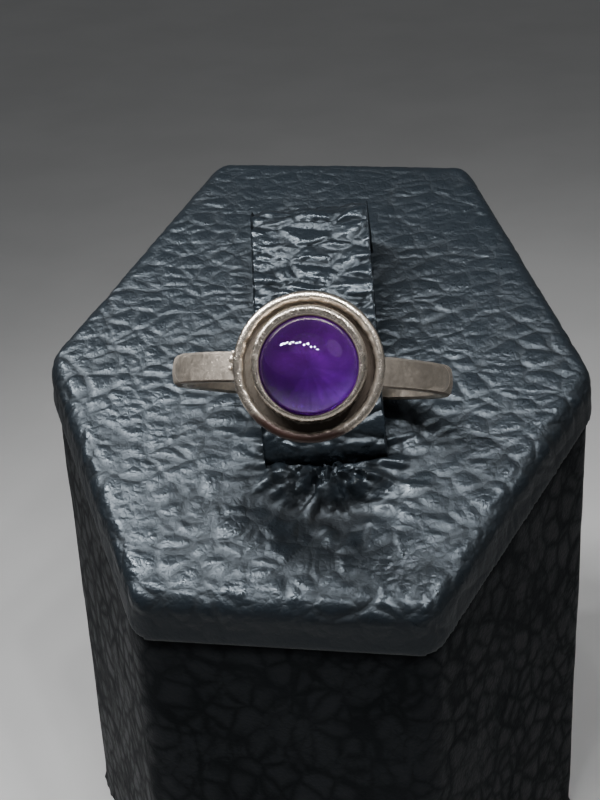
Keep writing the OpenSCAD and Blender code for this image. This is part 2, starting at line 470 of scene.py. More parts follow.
def ring_height(ring):
    """Height of the ring's centre over the face: its lower back edge rests there."""
    edge_r = mm(ring.finger_d) / 2 + mm(ring.band_t) - mm(ring.crown)
    half_w = mm(ring.band_w) / 2
    return REST_GAP + max(
        edge_r * math.cos(ring.lean) + (half_w - BAND_BEVEL) * math.sin(ring.lean),
        (edge_r - BAND_BEVEL) * math.cos(ring.lean) + half_w * math.sin(ring.lean))


def ring_frame(stand, ring):
    """The ring's own frame: X across, Y along the finger, Z through the setting."""
    return (face_frame(stand)
            @ Matrix.Translation((mm(ring.place_x), -mm(ring.place_down), ring_height(ring)))
            @ Matrix.Rotation(ring.lean, 4, "X")
            @ Matrix.Rotation(ring.roll, 4, "Y"))


def foot_height(ring):
    """Distance from the ring's centre to the foot of the cup."""
    return mm(ring.finger_d / 2 + ring.band_t - ring.file_depth) - CUP_SINK


def seat_height(ring):
    """Height of the ledge that carries the stone, over the foot of the cup."""
    return mm(ring.cup_h) - SEAT_DROP


def bezel_radius(ring, stone):
    """Outside radius of the bezel."""
    return mm(stone.width) / 2 + STONE_GAP + mm(ring.bezel_t)


def dome_radius(stone):
    """Radius of the sphere that the stone's dome is part of."""
    return ((mm(stone.width) / 2) ** 2 + mm(stone.dome_h) ** 2) / (2 * mm(stone.dome_h))


# Materials

class Nodes:
    """A tree of nodes, added and linked in short calls."""

    def __init__(self, tree):
        self.tree = tree

    def add(self, kind, inputs=None, **settings):
        """A new node, with its settings, and its inputs by name or number."""
        node = self.tree.nodes.new(kind)
        for key, value in settings.items():
            setattr(node, key, value)
        for key, value in (inputs or {}).items():
            self.put(node.inputs[key], value)
        return node

    def put(self, socket, value):
        """Links an output to a socket, or sets the socket's own value."""
        if isinstance(value, bpy.types.NodeSocket):
            self.tree.links.new(value, socket)
        else:
            socket.default_value = value

    def vector(self, operation, *inputs):
        """A vector operation, and the output that holds its answer."""
        node = self.add("ShaderNodeVectorMath", dict(enumerate(inputs)), operation=operation)
        return node.outputs["Value" if operation in {"LENGTH", "DISTANCE", "DOT_PRODUCT"} else "Vector"]

    def parts(self, vector):
        """The X, Y and Z of a vector."""
        return tuple(self.add("ShaderNodeSeparateXYZ", {0: vector}).outputs)

    def joined(self, x, y, z=0.0):
        """A vector of its X, Y and Z."""
        return self.add("ShaderNodeCombineXYZ", {0: x, 1: y, 2: z}).outputs[0]

    def noise(self, vector, scale, detail, roughness=0.55, distortion=0.0, output="Fac"):
        """Soft noise, scale times for each millimetre."""
        return self.add("ShaderNodeTexNoise", {
            "Vector": vector, "Scale": scale, "Detail": detail, "Roughness": roughness,
            "Distortion": distortion}).outputs[output]

    def warped(self, vector, scale, amount):
        """The vector, pushed about by noise."""
        push = self.vector("SUBTRACT", self.noise(vector, scale, 2.0, output="Color"), (0.5, 0.5, 0.5))
        return self.vector("ADD", vector, self.vector("MULTIPLY", push, (amount, amount, amount)))

    def cells(self, vector, scale, randomness=1.0):
        """Distance to the edges of Voronoi cells."""
        return self.add("ShaderNodeTexVoronoi", {
            "Vector": vector, "Scale": scale, "Randomness": randomness},
            feature="DISTANCE_TO_EDGE").outputs["Distance"]

    def fit(self, value, low, high, out_low=0.0, out_high=1.0, smooth=True):
        """The value, with its range from low to high made another range, and held at both ends."""
        return self.add("ShaderNodeMapRange", {
            "Value": value, "From Min": low, "From Max": high, "To Min": out_low, "To Max": out_high},
            interpolation_type="SMOOTHSTEP" if smooth else "LINEAR").outputs["Result"]

    def valley(self, distance, reach):
        """1 in the middle of a crease, falling to 0 at its reach from there, with a sharp bottom."""
        return self.math("POWER", self.fit(distance, 0.0, reach, 1.0, 0.0, smooth=False), 1.7)

    def math(self, operation, a, b=0.0):
        """The answer of one sum on one or two numbers."""
        return self.add("ShaderNodeMath", {0: a, 1: b}, operation=operation).outputs[0]

    def plus(self, a, b):
        return self.math("ADD", a, b)

    def minus(self, a, b):
        return self.math("SUBTRACT", a, b)

    def times(self, a, b):
        return self.math("MULTIPLY", a, b)

    def larger(self, a, b):
        return self.math("MAXIMUM", a, b)

    def absolute(self, a):
        return self.math("ABSOLUTE", a)

    def line(self, value, middle, near, far):
        """1 where the value is close to the middle, falling to 0 as it goes from near to far."""
        return self.fit(self.absolute(self.minus(value, middle)), near, far, 1.0, 0.0)

    def total(self, *terms):
        """The sum of value times factor over its terms."""
        result = None
        for value, factor in terms:
            part = self.times(value, factor)
            result = self.plus(result, part) if result else part
        return result

    def blend(self, factor, a, b):
        """A colour from a, at factor 0, to b, at factor 1."""
        return self.add("ShaderNodeMix", {0: factor, 6: a, 7: b}, data_type="RGBA").outputs[2]


class Finish(Nodes):
    """A material on a Principled shader."""

    def __init__(self, name):
        self.material = bpy.data.materials.new(name)
        self.material.use_nodes = True
        super().__init__(self.material.node_tree)
        self.shader = self.tree.nodes["Principled BSDF"]

    def places(self, place=None):
        """Object coordinates in millimetres, in the frame of place if it is given."""
        coords = self.add("ShaderNodeTexCoord").outputs["Object"]
        inverse = (place or Matrix.Identity(4)).inverted()
        mapping = self.add("ShaderNodeMapping", {
            "Vector": coords, "Scale": (1 / MM, 1 / MM, 1 / MM), "Rotation": inverse.to_euler("XYZ"),
            "Location": inverse.to_translation()})
        return mapping.outputs["Vector"]

    def bump(self, height, depth):
        """Fine relief too small for the mesh, its depth in millimetres."""
        return self.add("ShaderNodeBump", {
            "Height": height, "Distance": depth * MM, "Strength": BUMP}).outputs["Normal"]

    def set(self, **sockets):
        """Sets the shader's sockets, by their names with _ for a space, and gives the material."""
        for key, value in sockets.items():
            self.put(self.shader.inputs[key.replace("_", " ")], value)
        return self.material


class Relief(Nodes):
    """A modifier that moves a piece's points along their normals, by a pattern in millimetres."""

    def __init__(self, piece, name):
        super().__init__(bpy.data.node_groups.new(name, "GeometryNodeTree"))
        for side in ("INPUT", "OUTPUT"):
            self.tree.interface.new_socket("Geometry", in_out=side, socket_type="NodeSocketGeometry")
        piece.modifiers.new(name, "NODES").node_group = self.tree
        self.piece = piece
        self.where = self.add("GeometryNodeInputPosition").outputs[0]
        self.normal = self.add("GeometryNodeInputNormal").outputs[0]

    def above(self, point, direction):
        """Distance of each point from a plane."""
        return self.vector("DOT_PRODUCT", self.vector("SUBTRACT", self.where, point), direction)

    def near(self, point, reach):
        """1 at a point, falling softly to 0 at its reach."""
        return self.fit(self.vector("DISTANCE", self.where, point), 0.0, reach, 1.0, 0.0)

    def spokes(self, point, count):
        """Folds that run out from a point, 0 on their crests to 1 between them."""
        away = self.vector("SUBTRACT", self.where, point)
        aim = self.vector("NORMALIZE", away)
        drift = self.vector("MULTIPLY", away, (0.05, 0.05, 0.05))
        return self.fit(self.noise(self.vector("ADD", aim, drift), count, 1.0), 0.35, 0.6)

    def push(self, height, direction=None):
        """Moves the points by the height, along a direction or their normals."""
        move = self.add("ShaderNodeVectorMath", {0: direction or self.normal}, operation="SCALE")
        self.put(move.inputs["Scale"], height)
        place = self.add("GeometryNodeSetPosition", {"Offset": move.outputs[0]})
        source = self.add("NodeGroupInput")
        self.tree.links.new(source.outputs[0], place.inputs["Geometry"])
        self.tree.links.new(place.outputs["Geometry"], self.add("NodeGroupOutput").inputs[0])
        apply_all(self.piece)


def rgba(colour, factor=1.0):
    """A colour made lighter or darker by a factor, with its alpha."""
    return (*(c * factor for c in colour), 1.0)


def creases(n, where, size, flat, drift):
    """Height of pebbled leather, 0 to 1: wide and small pebbles, and long folds.

    The pebbles lie across the slope. With drift, they are flatter and less deep higher up.
    """
    x, y, z = n.parts(where)
    steps = n.plus(flat, n.times(y, drift))
    across = n.joined(x, n.times(y, steps), z)
    bent = n.warped(n.warped(across, 0.2 / size, 1.3 * size), 0.9 / size, 0.35 * size)
    fade = n.noise(where, 0.45 / size, 2.0)
    wide = n.times(n.valley(n.cells(bent, 1 / size, 0.9), 0.34), n.fit(fade, 0.35, 0.55, 0.45, 1.0))
    small = n.times(n.valley(n.cells(n.warped(bent, 1.6 / size, 0.35 * size), 2.2 / size), 0.30),
                    n.fit(fade, 0.4, 0.65, 1.0, 0.3))
    level = n.minus(n.noise(bent, 0.28 / size, 1.0), 0.5)
    fold = n.valley(n.absolute(level), 0.045)
    top_depth = 1.0 - 25 * drift
    ease = n.fit(y, -9.0, 14.0, 1.0, top_depth)
    return n.minus(1.0, n.times(n.total((wide, 0.60), (small, 0.20), (fold, 0.36)), ease))


def leather_material(name, colour, pattern, depth, gloss, shine, place=None, edge=None):
    """Pebbled leatherette: fine grain over the modelled creases, glossier on top, and painted much darker
    in the creases as shade.

    An edge is a point, the direction out of the face there, and the colour below it, a darker colour
    painted as shade on the folded sides.
    """
    n = Finish(name)
    where = n.places(place)
    main = creases(n, where, *pattern)
    grain = n.fit(n.cells(n.warped(where, 1.6, 0.3), 2.4), 0.0, 0.3)
    fine = n.noise(where, 4.2, 3.0, 0.6)
    patches = n.noise(where, 0.14, 3.0)
    height = n.total((main, depth), (grain, 0.20), (fine, 0.17))
    # Painted shade: the creases are painted much darker than the pebble tops.
    tint = n.blend(n.fit(main, 0.35, 0.95), rgba(colour, 0.30), rgba(colour, 1.2))
    tint = n.blend(n.fit(patches, 0.35, 0.7, 0.0, 0.4), tint, rgba(colour, 1.7))
    rough = n.fit(n.total((main, 0.8), (patches, 0.2), (fine, 0.3)), 0.4, 1.2, gloss + 0.32, gloss)
    # Painted shade: below the edge, the fold down the sides gets the darker side colour, and is made rough
    if edge:
        point, out, side_colour = edge
        rise = n.vector("DOT_PRODUCT", n.vector("SUBTRACT", where, point), out)
        side = n.fit(rise, -1.3, -0.4, 1.0, 0.0)
        tint = n.blend(side, tint, rgba(side_colour))
        rough = n.larger(rough, n.times(side, 0.55))
    return n.set(Base_Color=tint, Roughness=rough, Normal=n.bump(height, GRAIN_RELIEF),
                 Specular_IOR_Level=shine, Specular_Tint=rgba((0.80, 0.91, 1.0)))


def silver_material(name, ring, place, tarnish, gloss):
    """Worn silver: soft scratches, pits and patches, with tarnish and painted shade where its masks say.

    The masks are patina and painted shade, painted shade on the lower rim, the raised part of a step, what
    hides under the stone, and painted highlights along worn edges.
    """
    n = Finish(name)
    where = n.places(place)
    patches = n.noise(where, 0.9, 4.0, 0.6)
    cloud = n.noise(where, 3.2, 5.0, 0.65, 0.4)
    grain = n.noise(where, 16.0, 3.0, 0.6)
    scratches = n.noise(n.vector("MULTIPLY", where, (1.0, 14.0, 3.0)), 2.6, 3.0, 0.7)
    pits = n.fit(n.noise(where, 7.5, 2.0, 0.5, 0.6), 0.60, 0.70)
    edges = n.fit(n.add("ShaderNodeAmbientOcclusion", {"Distance": 0.35 * MM},
                        samples=12, only_local=False).outputs["AO"], 0.35, 0.85, 1.0, 0.0)
    dirt_and_shade = n.larger(n.times(edges, n.fit(cloud, 0.25, 0.6, 0.45, 1.0)),
                    n.times(pits, n.fit(patches, 0.42, 0.62, 0.0, 0.5)))
    patina_and_shade, brown, step, hidden, worn_highlight = tarnish(n, where, cloud)
    # The masks' patina and painted shade join the dirt, and the lower rim's painted shade dulls the silver
    # there too
    dirt_and_shade = n.larger(n.times(dirt_and_shade, n.minus(1.0, hidden)), patina_and_shade)
    dirt_and_shade = n.larger(dirt_and_shade, n.times(brown, 0.8))
    clean = n.blend(n.fit(patches, 0.3, 0.7), rgba(ring.silver, 0.80), rgba(ring.silver, 1.12))
    clean = n.blend(n.fit(cloud, 0.45, 0.75, 0.0, 0.55), clean, rgba(ring.silver, 0.62))
    # Painted highlight: the silver is made brighter along worn edges
    clean = n.blend(n.times(worn_highlight, 0.85), clean, rgba(ring.silver, 1.4))
    colour = n.blend(dirt_and_shade, clean, rgba(ring.tarnish))
    # Painted shade on the lower side of the rim
    colour = n.blend(brown, colour, rgba(ring.brown))
    rough = n.plus(n.fit(cloud, 0.3, 0.7, gloss, gloss + 0.14), n.times(dirt_and_shade, 0.25))
    rough = n.plus(rough, n.total((scratches, 0.06), (hidden, 0.4)))
    height = n.total((cloud, 0.5), (grain, 0.09), (scratches, 0.20), (pits, -0.3), (step, 3.2))
    return n.set(Base_Color=colour, Metallic=n.fit(dirt_and_shade, 0.0, 1.0, 1.0, 0.35), Roughness=rough,
                 Normal=n.bump(height, SILVER_RELIEF))


def band_shade_and_highlight(ring):
    """Masks of the band: painted shade along its near bevel, painted shade past the end of the filed face,
    and a painted highlight along that end.
    """
    half_w = mm(ring.band_w) / 2
    edge_r = mm(ring.finger_d) / 2 + mm(ring.band_t) - mm(ring.crown)
    end = (edge_r + mm(ring.crown)) * math.cos(ring.file_end)

    def mask(n, where, cloud):
        x, y, z = n.parts(where)
        away = n.vector("LENGTH", n.joined(x, z))
        outer = n.fit(away, edge_r - 0.60, edge_r - 0.50)
        # Painted shade: a dark line along the near bevel only, in the tarnish colour
        bevel = n.times(n.fit(y, 0.13 - half_w, 0.08 - half_w), outer)
        bevel = n.times(bevel, n.fit(y, -half_w - 0.03, -half_w + 0.01))
        corner = n.math("POWER", n.absolute(n.math("DIVIDE", y, half_w)), 3.0)
        reach = n.minus(z, n.times(corner, 1.3))
        unfiled = n.times(n.fit(reach, end - 0.1, end + 0.05, 1.0, 0.0), outer)
        # Painted shade past the end of the filed face, where the band turns away from the light
        end_shade = n.times(unfiled, n.fit(cloud, 0.3, 0.7, 0.45, 0.75))
        # Painted highlight: a bright line along the end of the filed face
        line = n.times(n.line(reach, end + 0.05, 0.02, 0.09), outer)
        end_shade = n.times(end_shade, n.minus(1.0, line))
        return n.larger(n.times(bevel, 0.95), end_shade), 0.0, unfiled, 0.0, line
    return mask


def setting_tarnish_and_shade(ring, stone):
    """Masks of the setting: patina in the channel between bezel and rim, darker on one side as painted
    shade; painted shade under the stone's edge and on the lower side of the rim; and painted highlights
    along the rim's crest and the bezel's lip.
    """
    crest = foot_height(ring) + mm(ring.cup_h)
    stone_r, bezel_r = mm(stone.width) / 2, bezel_radius(ring, stone)
    rim_r = bezel_r + mm(ring.channel_w) + mm(ring.wire_d) / 2

    def mask(n, where, cloud):
        x, y, z = n.parts(where)
        away = n.vector("LENGTH", n.joined(x, y))
        ragged = n.times(n.minus(cloud, 0.5), 0.5)
        inside = n.fit(n.plus(away, ragged), rim_r - 0.16, rim_r + 0.02, 1.0, 0.0)
        outside = n.fit(n.plus(away, ragged), bezel_r - 0.20, bezel_r - 0.02)
        low = n.fit(n.plus(z, ragged), crest - 0.30, crest + 0.05, 1.0, 0.0)
        both = n.times(inside, outside)
        deep = n.times(both, n.larger(low, n.times(both, 0.55)))
        lower = n.total((x, 0.75), (y, -0.65), (cloud, 2.0))
        # Painted shade: the lower side of the rim is turned a dark red-brown
        under = n.total((y, -1.0), (x, -0.12), (cloud, 0.8))
        brown = n.times(n.fit(under, 3.2, 4.1), n.fit(away, rim_r - 0.3, rim_r - 0.1))
        under_stone = n.fit(away, BED_R, BED_R + 0.2, 1.0, 0.0)
        # Painted shade: a dark ring under the stone's edge, in the tarnish colour
        pocket = n.times(n.fit(away, BED_R, BED_R + 0.2), n.fit(away, stone_r - 0.06, stone_r, 0.95, 0.0))
        # Painted shade: the channel's patina is made darker towards +X and -Y, the side that lies in shade
        deep = n.times(deep, n.fit(lower, -1.5, 3.0, 0.45, 1.0))
        # Painted highlights, partly worn polish: bright lines along the rim's crest and round the bezel's
        # lip, not where the lower rim is shaded
        crest_highlight = n.line(away, rim_r + 0.02, 0.12, 0.28)
        lip_highlight = n.line(away, bezel_r - 0.36, 0.05, 0.13)
        worn_highlight = n.times(n.larger(crest_highlight, lip_highlight), n.minus(1.0, brown))
        return n.larger(deep, pocket), brown, 0.0, under_stone, worn_highlight
    return mask


def amethyst_material(name, stone, place):
    """Clear violet quartz with faint veils inside, its colour painted lighter towards +X as a glow and
    darker towards both ends of Y as shade.
    """
    n = Finish(name)
    where = n.places(place)
    x, y, z = n.parts(where)
    veils = n.noise(where, 0.45, 4.0, 0.55, 0.8)
    # Painted light: a glow towards +X and painted shade at both ends of Y, mixed with the veils
    glow_and_veils = n.total((x, 0.15), (y, 0.03), (veils, 0.9),
                   (n.fit(y, 0.2, 2.4), -0.45),
                   (n.fit(y, -1.2, -2.6), -0.55))
    colour = n.blend(n.fit(glow_and_veils, 0.0, 0.9), rgba(stone.violet, 0.3), rgba(stone.violet, 1.15))
    wear = n.noise(where, 1.4, 4.0, 0.6)
    back = n.fit(z, 0.02, 0.10, 0.16, 0.0)
    return n.set(Base_Color=colour, Roughness=n.plus(n.fit(wear, 0.3, 0.7, 0.005, 0.02), back),
                 Transmission_Weight=0.9, IOR=1.545, Specular_Tint=rgba((0.90, 0.84, 1.0)))


# The stand

def face_pattern(stand):
    """Size, flatness and drift of the pebbles on the face and its fold."""
    return mm(stand.crease), FACE_FLATNESS, FACE_DRIFT


def hexagonal_body(name, stand):
    """A hexagonal block from the floor up to the slanted face, with rounded edges."""
    radius, height = mm(stand.block_w) / 2, mm(stand.block_h)
    deselect()
    bpy.ops.mesh.primitive_cylinder_add(vertices=6, radius=radius, depth=height,
                                        location=(0, 0, height / 2), rotation=(0, 0, math.pi / 6))
    piece = start(name)
    bake_place()
    edit(piece)
    across = radius * math.cos(math.pi / 6)
    for y in (-across, 0, across):
        pick(piece, lambda v: v.co.z > height / 2 and abs(v.co.y - y) < 0.1)
        bpy.ops.transform.translate(value=(0, 0, y * math.tan(stand.face_slope)))
    pick(piece, lambda e: max(v.co.z for v in e.verts) > 1, "EDGE")
    bpy.ops.mesh.bevel(offset=mm(stand.edge_r), segments=5, affect="EDGES")
    leave()
    return piece


def cut(piece, stand, drop, keep_above):
    """Cuts the block with a plane parallel to its face, and closes it."""
    face = face_frame(stand)
    edit(piece)
    pick_all()
    bpy.ops.mesh.bisect(plane_co=face @ Vector((0, 0, -drop)), plane_no=aimed(face, 0, 0, 1), use_fill=True,
                        clear_inner=keep_above, clear_outer=not keep_above, threshold=MERGE)
    leave()


def close_cut(piece, stand, drop):
    """Makes one face of the many that lie in the cut plane."""
    face = face_frame(stand)
    inverse, down = face.inverted(), aimed(face, 0, 0, -1)
    edit(piece)
    pick(piece, lambda f: f.normal.dot(down) > 0.9
         and (inverse @ f.calc_center_median()).z < -drop + 0.3, "FACE")
    bpy.ops.mesh.dissolve_faces()
    leave()


def model_face_leather(stand, strap):
    """The leather of the slanted face, folded over the edges, with pebbles, creases and hollow."""
    piece = hexagonal_body("face_leather", stand)
    drop = mm(stand.wrap_h)
    cut(piece, stand, drop, True)
    remesh(piece, FACE_VOXEL)
    face = face_frame(stand)
    across, up, out = aimed(face, 1, 0, 0), aimed(face, 0, 1, 0), aimed(face, 0, 0, 1)
    foot = mm(strap.upper - strap.span)
    slot = face @ Vector((mm(strap.place) + 0.8, foot - 0.2, 0))
    middle = face @ Vector((mm(strap.place) + 1.0, foot - 2.6, 0))
    hollow = Relief(piece, "hollow")
    hollow.push(hollow.times(hollow.near(middle, mm(stand.dip_w) / 2), -mm(stand.dip_depth)), out)
    n = Relief(piece, "leather")
    rise = n.above(face.to_translation(), out)
    body = n.fit(rise, -drop + 0.25, -drop + 1.2)
    swell = n.noise(n.where, 0.11, 2.0)
    # Folds that run out from the strap's foot, and the leather that it piles up in front
    pulls = n.times(n.minus(n.spokes(slot, 2.6), 0.5), n.near(slot, 9.5))
    ahead = n.absolute(n.plus(n.above(slot, up), 1.3))
    aside = n.absolute(n.above(slot, across))
    pile = n.times(n.fit(ahead, 0.1, 2.3, 1.0, 0.0), n.fit(aside, 3.0, 5.0, 1.0, 0.0))
    ruffles = n.fit(n.noise(n.warped(n.where, 0.3, 2.0), 0.55, 2.0), 0.35, 0.65, 0.55, 1.0)
    pile = n.times(pile, ruffles)
    pebbles = n.minus(creases(n, n.where, *face_pattern(stand)), 1.0)
    relief = n.total((pebbles, mm(stand.crease_depth)), (pile, 1.5),
                     (n.minus(swell, 0.65), 0.22), (pulls, -0.8))
    n.push(n.times(relief, body))
    close_cut(piece, stand, drop)
    return piece


def model_side_leather(stand):
    """The leather of the upright sides and the base, under the fold of the face's leather."""
    piece = hexagonal_body("side_leather", stand)
    cut(piece, stand, mm(stand.wrap_h) - 0.05, False)
    remesh(piece, SIDE_VOXEL)
    n = Relief(piece, "side")
    floor = n.fit(n.above((0, 0, 0), (0, 0, 1)), 0.1, 1.5)
    relief = n.total((n.minus(creases(n, n.where, *SIDE_PATTERN), 1.0), 0.03),
                     (n.minus(n.noise(n.where, 0.12, 2.0), 0.8), 0.3))
    n.push(n.times(relief, floor))
    edit(piece)
    inverse = face_frame(stand).inverted()
    pick(piece, lambda v: v.co.z > 0.5 and (inverse @ v.co).z < -1)
    narrow = 1 - mm(stand.wrap_t) / (mm(stand.block_w) / 2 * math.cos(math.pi / 6))
    bpy.ops.transform.resize(value=(narrow, narrow, 1))
    leave()
    return piece


def bend_of(a, b, c, radius):
    """Where a rounded corner at b begins, its middle and its angle, for a path that turns left."""
    first, second = (b - a).normalized(), (c - b).normalized()
    turn = first.angle(second)
    begin = b - first * radius * math.tan(turn / 2)
    middle = begin + Vector((-first.y, first.x)) * radius
    return begin, middle, turn


def strap_route(strap, ring):
    """Corners of the strap's path as (distance up the slope, height over the face).

    The second value is how far up the slope the strap crosses the back of the band.
    """
    bore_r, half_w = mm(ring.finger_d) / 2, mm(ring.band_w) / 2
    edge = mm(strap.width) / 2 + abs(mm(ring.place_x) - mm(strap.place))
    chord = math.sqrt(bore_r ** 2 - edge ** 2)
    touch_s = chord * math.sin(ring.lean) + half_w * math.cos(ring.lean) - mm(ring.place_down)
    touch_h = ring_height(ring) - chord * math.cos(ring.lean) + half_w * math.sin(ring.lean)
    crossing = touch_h + mm(strap.clearance) + mm(strap.thick) / 2
    upper, lower, sink = mm(strap.upper), mm(strap.upper - strap.span), mm(strap.sink)
    corners = [(upper, -sink), (upper, mm(strap.rise)),
               (touch_s - mm(strap.width) / 2 * math.sin(strap.turn), crossing),
               (lower, mm(strap.thick) / 2), (lower, -sink)]
    return [Vector(c) for c in corners], touch_s


def model_strap(stand, strap, ring):
    """The strap: a flat end extruded and spun along its path, then creased."""
    corners, touch_s = strap_route(strap, ring)
    deselect()
    bpy.ops.mesh.primitive_plane_add(size=1, location=(0, corners[0].x, corners[0].y))
    piece = start("strap_leather")
    piece.scale = (mm(strap.width), mm(strap.thick), 1)
    bake_place()
    edit(piece)
    pick_all()
    at = corners[0]
    radii = [mm(strap.upper_bend), 2 * mm(strap.thick), mm(strap.lower_bend)]
    for i, radius in enumerate(radii):
        begin, middle, turn = bend_of(corners[i], corners[i + 1], corners[i + 2], radius)
        step = begin - at
        bpy.ops.mesh.extrude_region_move(TRANSFORM_OT_translate={"value": (0, step.x, step.y)})
        bpy.ops.mesh.spin(steps=6, angle=turn, center=(0, middle.x, middle.y), axis=(-1, 0, 0))
        second = (corners[i + 2] - corners[i + 1]).normalized()
        at = corners[i + 1] + second * radius * math.tan(turn / 2)
    step = corners[4] - at
    bpy.ops.mesh.extrude_region_move(TRANSFORM_OT_translate={"value": (0, step.x, step.y)})
    merge_all()
    face_outwards()
    leave()
    remesh(piece, STRAP_VOXEL)
    n = Relief(piece, "strap")
    swell = n.noise(n.where, 0.35, 2.0)
    side = n.vector("DOT_PRODUCT", n.normal, (1, 0, 0))
    flat = n.fit(n.absolute(side), 0.3, 0.8, 1.0, 0.12)
    relief = n.total((n.minus(creases(n, n.where, *STRAP_PATTERN), 1.0), 0.42),
                     (n.minus(swell, 0.7), 0.4))
    n.push(n.times(relief, flat))
    about = Vector((mm(strap.place), touch_s, 0))
    return piece, (face_frame(stand) @ Matrix.Translation(about)
                   @ Matrix.Rotation(strap.turn, 4, "Z") @ Matrix.Translation((0, -touch_s, 0)))


# The ring

def model_band(ring):
    """The flat band, with its outer face filed towards the cup."""
    bore_r, half_w = mm(ring.finger_d) / 2, mm(ring.band_w) / 2
    crown_r = bore_r + mm(ring.band_t)
    edge_r = crown_r - mm(ring.crown)
    top_y = half_w - BAND_BEVEL
    inner = [(bore_r, top_y * (1 - i / 2)) for i in range(4)]
    outer = [(crown_r - mm(ring.crown) * (y / top_y) ** 2, y)
             for y in (top_y * (-1 + i / 4) for i in range(9))]
    outline = ([(bore_r + BAND_BEVEL, half_w)] + inner
               + [(bore_r, -top_y), (bore_r + BAND_BEVEL, -half_w), (edge_r - BAND_BEVEL, -half_w)]
               + outer + [(edge_r - BAND_BEVEL, half_w)])
    piece = lathe("ring_band", outline, RING_STEPS, True)
    piece.matrix_world = Matrix.Rotation(-math.pi / 2, 4, "X")
    bake_place()
    file_top = crown_r - mm(ring.file_depth)
    back = ((crown_r ** 2 - file_top ** 2)
            / (2 * (file_top - crown_r * math.cos(ring.file_end))))
    file_r = file_top + back
    edit(piece)
    mesh = bmesh.from_edit_mesh(piece.data)
    middle = Vector((0, 0, -back))
    for v in mesh.verts:
        flat = Vector((v.co.x, 0, v.co.z))
        reach = (flat - middle).length
        limit = file_r - BAND_BEVEL * (abs(v.co.y) > half_w - 0.01)
        if reach > limit:
            v.co = middle + (flat - middle) * limit / reach + Vector((0, v.co.y, 0))
    bmesh.update_edit_mesh(piece.data)
    leave()
    roughen(piece, "dents", 1.8, 2, 0.07)
    apply_all(piece)
    return piece


def model_cup(ring, stone):
    """The cup: floor, wall and round wire rim, its inner edge worn ragged."""
    bore, wire = bezel_radius(ring, stone) + mm(ring.channel_w), mm(ring.wire_d) / 2
    wall_r, bed = bore + CUP_WALL, seat_height(ring) - 0.05
    ring_r, ring_z = bore + wire, mm(ring.cup_h) - wire
    foot_bevel = 0.08
    outline = ([(AXIS_R, bed)] + stretch((0.8, bed), (BED_R, bed), 4)
               + stretch((BED_R, CUP_FLOOR), (bore, CUP_FLOOR), 3)
               + stretch((bore, CUP_FLOOR), (bore, ring_z - 0.06), 4)
               + arc((ring_r, ring_z), wire, 190, -55, 22)
               + stretch((wall_r, ring_z - wire), (wall_r, foot_bevel), 5)
               + arc((wall_r - foot_bevel, foot_bevel), foot_bevel, 0, -90, 2)
               + stretch((wall_r - 0.4, 0), (AXIS_R, 0), 5) + [(AXIS_R, 0)])
    piece = lathe("ring_cup", outline, RING_STEPS, True)
    group = piece.vertex_groups.new(name="inner_edge")
    for v in piece.data.vertices:
        r = from_axis(v)
        if v.co.z > ring_z - 0.1 and r < ring_r + 0.06:
            group.add([v.index], min(1.0, max(0.0, (ring_r - 0.04 - r) / 0.2)), "REPLACE")
    roughen(piece, "wobble", 2.6, 1, 0.04)
    roughen(piece, "wear", 0.7, 1, 0.01)
    roughen(piece, "filing", 0.34, 2, 0.17, "inner_edge")
    apply_all(piece)
    return piece


def model_bezel(ring, stone):
    """The bezel: a wall that is rolled over the edge of the stone, with a worn lip that the material paints
    bright as a highlight.
    """
    stone_r, dome_r = mm(stone.width) / 2, dome_radius(stone)
    pocket, bezel_r = stone_r + STONE_GAP, bezel_radius(ring, stone)
    seat, lip_r = seat_height(ring), stone_r - LIP_REACH
    under = (seat + mm(stone.girdle_h) + mm(stone.dome_h) - dome_r
             + math.sqrt((dome_r + STONE_GAP) ** 2 - lip_r ** 2))
    lip_z, crest_r, crest_z = under + 0.05, lip_r + LIP_WIDTH, under + 0.10
    outline = ([(bezel_r, 0.3)] + stretch((bezel_r, 0.5), (bezel_r, crest_z - SHOULDER), 6)
               + [(crest_r + (bezel_r - crest_r) * math.cos(a), crest_z - SHOULDER * (1 - math.sin(a)))
                  for a in (math.pi / 2 * i / 8 for i in range(9))]
               + [(crest_r - 0.06, crest_z - 0.005), (crest_r - 0.12, crest_z - 0.02),
                  (lip_r + 0.05, lip_z), (lip_r, lip_z - 0.015), (lip_r, under),
                  (pocket, seat + mm(stone.girdle_h) + 0.1), (pocket, seat),
                  (pocket - 0.5, seat), (pocket - 0.5, 0.3)])
    piece = lathe("ring_bezel", outline, RING_STEPS, True)
    edit(piece)
    pick(piece, lambda v: from_axis(v) > max(lip_r + 0.12, pocket + 0.02))
    bpy.ops.transform.translate(value=(0, mm(ring.bezel_shift), 0))
    leave()
    group = piece.vertex_groups.new(name="outside")
    group.add([v.index for v in piece.data.vertices
               if from_axis(v) > pocket + 0.02 or v.co.z > under + 0.03], 1.0, "REPLACE")
    roughen(piece, "burnish", 1.1, 2, 0.06, "outside")
    roughen(piece, "nicks", 0.3, 2, 0.03, "outside")
    apply_all(piece)
    return piece


